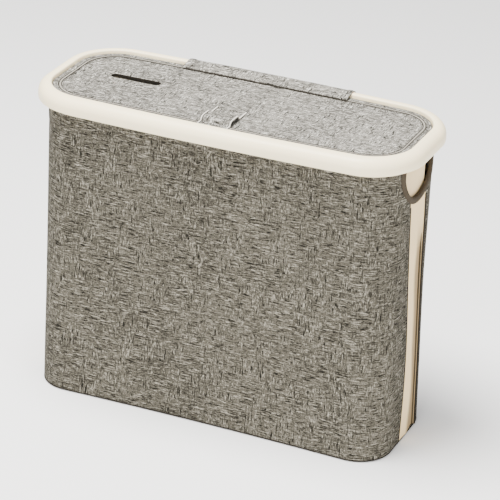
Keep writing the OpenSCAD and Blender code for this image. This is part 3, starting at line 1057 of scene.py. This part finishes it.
def make_slot_edge():
    """Turned edge of the slot: a rounded lip above and below, joined through the lid."""
    centre, length, width = slot_size()
    profile = [(0.5 * MM, LID_TOP - 1.0 * MM), (0.1 * MM, LID_TOP - 0.7 * MM)]
    profile += [(0.4 * MM, LID_TOP - 0.25 * MM), (1.3 * MM, LID_TOP),
                (2.2 * MM, LID_TOP - 0.1 * MM), (2.7 * MM, LID_TOP - 0.6 * MM),
                (0.9 * MM, LID_TOP - 0.9 * MM), (0.9 * MM, LID_TOP - 1.0 * MM)]
    sleeve = [(0.0, LID_BOTTOM + 0.5 * MM), (0.0, LID_TOP - 0.8 * MM),
              (0.8 * MM, LID_TOP - 0.8 * MM), (0.8 * MM, LID_BOTTOM + 0.6 * MM),
              (2.7 * MM, LID_BOTTOM + 0.4 * MM), (2.5 * MM, LID_BOTTOM + 0.1 * MM)]
    parts = (("slot_lip", profile, LIT_LID_LINEN, "lid_linen", ["slot_binding"]),
             ("slot_sleeve", sleeve, DARK_THREAD, "binding_tape", []))
    for name, section, material, slot, nodes in parts:
        loops = [stadium(centre, length + 2 * g, width + 2 * g, z, 14) for g, z in section]
        sections = [[loop[i] for loop in loops] for i in range(len(loops[0]))]
        fit(sweep(name, sections, material, True, 60), "lid", slot, *nodes)


def make_pull_loop():
    """Arched finger band with turned side edges, sewn down in front and behind."""
    front, back, width = LOOP_LOW.y, LOOP_HIGH.y, LOOP_HIGH.x - LOOP_LOW.x
    foot_z, band, hem_height, turned = LID_TOP - 0.1 * MM, 1.3 * MM, 0.35 * MM, 0.5 * MM
    middle, half_span, rise = -57.5 * MM, 12.8 * MM, 4.8 * MM
    ys = [lerp(front, back, k / 80) for k in range(81)]

    def height(y):
        share = min(abs(y - middle) / half_span, 1.0)
        return foot_z + rise * (1 - share ** 6)

    outer, inner = [], []
    for y in ys:
        z = height(y)
        row_out, row_in = [], []
        for k in range(25):
            s = k / 24
            x = lerp(-width / 2, width / 2, s)
            hem = hem_height * (math.exp(-((s - 0.06) / 0.05) ** 2)
                                + math.exp(-((s - 0.94) / 0.05) ** 2))
            tuck = turned * (smooth((0.04 - s) / 0.04) + smooth((s - 0.96) / 0.04))
            row_out.append(Vector((x, y, z + band + hem - tuck)))
            row_in.append(Vector((x, y, z + 0.1 * MM)))
        outer.append(row_out)
        inner.append(row_in)
    loop = shell("pull_loop_band", outer, inner, LIT_LID_LINEN, uvs=plane_uvs(outer, 0, 1),
                 smooth_angle=50)
    outward(loop)
    fit(loop, "lid", "lid_linen", "pull_loop")
    make_loop_trims(width / 2, [(y, height(y) + band) for y in ys])


def make_loop_trims(half, curve):
    """Corded side edges and sewn rows on top of the finger band."""
    cords = (
        ("left_hem", 0.9 * MM - half, 0.9 * MM, PALE_THREAD, "lid_linen"),
        ("right_hem", half - 0.9 * MM, 0.8 * MM, PALE_THREAD, "lid_linen"),
        ("left_inner_line", 2.5 * MM - half, 0.75 * MM, DARK_THREAD, "binding_tape"),
        ("left_outer_line", -0.3 * MM - half, 0.55 * MM, DARK_THREAD, "binding_tape"),
    )
    for name, x, radius, material, slot in cords:
        cord = tube("loop_" + name, [(x, y, z) for y, z in curve], radius, material)
        fit(cord, "lid", slot)
    side_row = [(half - 5 * MM, y, z + 0.1 * MM) for y, z in curve[8:-20]]
    stitches("loop_side_row", side_row, DARK_THREAD, "lid", 4.4 * MM, 0.5, 0.5 * MM)
    for name, (y, z) in (("front", curve[6]), ("back", curve[-6])):
        row = [(x, y, z + 0.1 * MM) for x in (3 * MM - half, half - 2 * MM)]
        stitches("loop_row_" + name, row, DARK_THREAD, "lid", 3.8 * MM, 0.5, 0.5 * MM)


# ---------------------------------------------------------------- cloth hinge

def back_surface(x, inset, z):
    """A point on the back at x, for an inset and height."""
    b = outline_at(z)[1]
    return Vector((x, bow_y(x, b - inset, z), z))


def hinge_path():
    """(inset, z) points of the hinge's under face: lid, crown, skirt, then the back cover."""
    over = SHOULDER + 0.25 * MM
    path = [(28.6 * MM, LID_TOP + 1.1 * MM), (26.0 * MM, LID_TOP + 1.5 * MM),
            (21.5 * MM, LID_TOP + 2.5 * MM), (17 * MM, CROWN - 0.7 * MM),
            (14.6 * MM, CROWN + 0.15 * MM)]
    path += arc(SHOULDER, SHOULDER_Z, over, 90, 0, 14)
    path += [(-0.25 * MM, RIM_BOTTOM + 1 * MM), (0.3 * MM, RIM_BOTTOM - 2 * MM),
             (4 * MM, RIM_BOTTOM - 8 * MM), (9 * MM, RIM_BOTTOM - 13.5 * MM),
             (12.2 * MM, RIM_BOTTOM - 18 * MM), (13.1 * MM, RIM_BOTTOM - 22 * MM),
             (13.2 * MM, BAND_LOW.z)]
    return spread(path, 2.0 * MM)


def path_normals(path):
    """Outward directions along an (inset, z) path."""
    normals = []
    for i in range(len(path)):
        i0, z0 = path[max(i - 1, 0)]
        i1, z1 = path[min(i + 1, len(path) - 1)]
        length = math.hypot(i1 - i0, z1 - z0)
        normals.append(((z1 - z0) / length, -(i1 - i0) / length))
    return normals


def make_cloth_hinge():
    """One folded strip from the lid over the crown and down to the back cover."""
    cloth, hem = 1.0 * MM, 9 * MM
    half = BAND_HIGH.x - 1.5 * MM
    path = hinge_path()
    xs = [lerp(-half, half, k / 70) for k in range(71)]
    inner, outer = [], []
    for (inset, z), (ni, nz) in zip(path, path_normals(path)):
        row_in, row_out = [], []
        for x in xs:
            from_end = half - abs(x)
            fold = 0.7 * MM * smooth((hem - from_end) / (1.5 * MM))
            wave = 0.25 * MM * noise.noise(Vector((x * 40, z * 30, inset * 60)))
            edge = 0.4 * MM * smooth(1 - from_end / (0.8 * MM))
            lift = cloth + fold + wave - edge
            row_in.append(back_surface(x, inset, z))
            row_out.append(back_surface(x, inset + ni * lift, z + nz * lift))
        inner.append(row_in)
        outer.append(row_out)
    along = np.cumsum([0] + [math.dist(a, b) for a, b in zip(path, path[1:])])
    uvs = [[(x, float(s)) for x in xs] for s in along]
    piece = shell("hinge_cloth", outer, inner, LIT_LID_LINEN, uvs=uvs, smooth_angle=50)
    outward(piece)
    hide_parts("hinge_band", "hinge_flap")
    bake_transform(piece)
    make_hinge_trims(path, xs, half, hem, cloth)


def make_hinge_trims(path, xs, half, hem, cloth):
    """Dark lines as painted shadow along the hinge's front edge and hems, and the row sewn to
    the back.
    """
    # Painted shadow: a dark thread under the raised front edge, where the edge shades the lid.
    front_shadow_row = [back_surface(x, path[0][0] + 0.2 * MM, LID_TOP + 0.3 * MM) for x in xs]
    fit(tube("hinge_front_shadow_line", front_shadow_row, 0.55 * MM, DARK_THREAD), "lid", "binding_tape")
    # Painted shadow: dark threads along the side edges, where the band meets the lid, and along
    # the hems' edges.
    for i, x in enumerate((-half + 0.1 * MM, half - 0.1 * MM, -half + hem, half - hem)):
        edge = [back_surface(x, inset, z + cloth) for inset, z in path[:5]]
        line = tube("hinge_edge_shadow_line_%d" % i, edge, 0.5 * MM, DARK_THREAD)
        fit(line, "lid", "binding_tape")
    low_row = [back_surface(x, 12.0 * MM, BAND_LOW.z + 4 * MM) for x in xs[1:-1]]
    stitches("hinge_sewn_row", low_row, DARK_THREAD, "hamper", 3.4 * MM, 0.7, 0.35 * MM)


# ---------------------------------------------------------------- seams on the body

def end_path(side, sign, seam, gap, low, high, steps, proud):
    """A path up an end wall, a gap outside a seam and standing proud of the cloth."""
    path = []
    for k in range(steps + 1):
        z = lerp(low, high, k / steps)
        p, n = end_point(side, sign * (seam(z) + gap), z, COVER_INSET)
        path.append(soften(p, n) + n * proud)
    return path


def make_body_stitches():
    """Rows of stitches beside the end seams."""
    for name, seam in END_SEAMS.items():
        gap = 7 * MM if name == "right_back" else 8 * MM
        path = end_path(*seam, gap, 6 * MM, HOLD_BOTTOM - 10 * MM, 89, 0.25 * MM)
        stitches("seam_stitches_" + name, path, DARK_THREAD, "hamper", 3.6 * MM, 0.6, 0.3 * MM)


def make_seam_cords():
    """Dark seam lines where the covers meet the cream strips, thicker at the back, where they
    are also painted shadow in the gap at the back seams.
    """
    thin, back_shadow_radius = 0.7 * MM, 1.2 * MM
    for name, seam in END_SEAMS.items():
        # The back seams' thicker cords paint the shadow in the gap there.
        radius = back_shadow_radius if name.endswith("back") else thin
        path = end_path(*seam, 0, 2.5 * MM, HOLD_BOTTOM - 6 * MM, 79, radius - thin)
        cord = tube("seam_line_" + name, path, radius, DARK_THREAD)
        fit(cord, "hamper", "binding_tape")


# ---------------------------------------------------------------- carried-over CAD nodes

def repaint(node, material):
    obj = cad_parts[node]
    obj.data.materials.clear()
    obj.data.materials.append(material)


def repaint_nodes():
    repaint("rim_screws", STEEL)
    repaint("lid_board", BOARD_LOOK)
    repaint("base_board", BOARD_LOOK)


# ---------------------------------------------------------------- stage

def make_stage():
    """Pale floor and even light all round."""
    mesh = bpy.data.meshes.new("floor")
    size = 12
    mesh.from_pydata([(-size, -size, 0), (size, -size, 0), (size, size, 0), (-size, size, 0)],
                     [], [(0, 1, 2, 3)])
    floor = bpy.data.objects.new("floor", mesh)
    floor.data.materials.append(floor_look("floor_white"))
    bpy.context.scene.collection.objects.link(floor)
    world = bpy.data.worlds.new("studio")
    world.use_nodes = True
    background = world.node_tree.nodes["Background"]
    background.inputs["Color"].default_value = grey(1)
    background.inputs["Strength"].default_value = 0.78
    bpy.context.scene.world = world


def add_light(name, place, target, size, power, color=(1, 1, 1)):
    """A round area light: places in metres, power in watts."""
    data = bpy.data.lights.new(name, "AREA")
    data.shape = "DISK"
    data.size = size
    data.energy = power
    data.color = color
    light = bpy.data.objects.new(name, data)
    light.location = place
    light.rotation_euler = (Vector(target) - Vector(place)).to_track_quat("-Z", "Y").to_euler()
    bpy.context.scene.collection.objects.link(light)


def make_lights():
    middle = (0, 0, 0.25)
    add_light("top_softbox", (-0.35, -0.3, 2.3), middle, 1.1, 172, (1.0, 0.985, 0.955))
    add_light("front_fill", (0.3, -2.8, 1.3), middle, 1.4, 56)
    add_light("right_fill", (2.6, -1.4, 1.0), middle, 1.2, 50, (1.0, 0.975, 0.94))


def make_camera():
    """Camera at the reference picture's angle: turned 22.8 degrees, raised 25.4, rolled 2.5."""
    azimuth, elevation, roll = map(math.radians, (22.84, 25.35, 2.46))
    target = Vector((20.06, 0, 201.2)) * MM
    distance = 3.2172
    away = Vector((math.sin(azimuth) * math.cos(elevation),
                   -math.cos(azimuth) * math.cos(elevation), math.sin(elevation)))
    level = Vector((math.cos(azimuth), math.sin(azimuth), 0))
    rise = away.cross(level)
    right = level * math.cos(roll) + rise * math.sin(roll)
    up = rise * math.cos(roll) - level * math.sin(roll)
    data = bpy.data.cameras.new("camera")
    data.sensor_width = 36
    data.lens = 195.8
    data.clip_end = 50
    camera = bpy.data.objects.new("camera", data)
    axes = Matrix((right, up, away)).transposed().to_4x4()
    camera.matrix_world = Matrix.Translation(target + away * distance) @ axes
    bpy.context.scene.collection.objects.link(camera)
    bpy.context.scene.camera = camera


# ---------------------------------------------------------------- build

make_top_rim()
make_clamp_ring()
make_covers()
make_boards()
make_gusset("right_gusset", 1, (right_front_seam, right_back_seam), 2.4 * MM)
make_gusset("left_gusset", -1, (left_seam, left_seam), 1.4 * MM)
make_seam_tapes()
make_lining()
make_bottom()
make_handle_binding("right_handle_binding", 1)
make_handle_binding("left_handle_binding", -1)
make_grip_flap("right_grip_flap", 1, "right_flap")
make_grip_flap("left_grip_flap", -1, "left_flap")
make_lid_border()
make_lid_cloths()
make_slot_edge()
make_pull_loop()
make_cloth_hinge()
make_body_stitches()
make_seam_cords()
repaint_nodes()
make_stage()
make_lights()
make_camera()
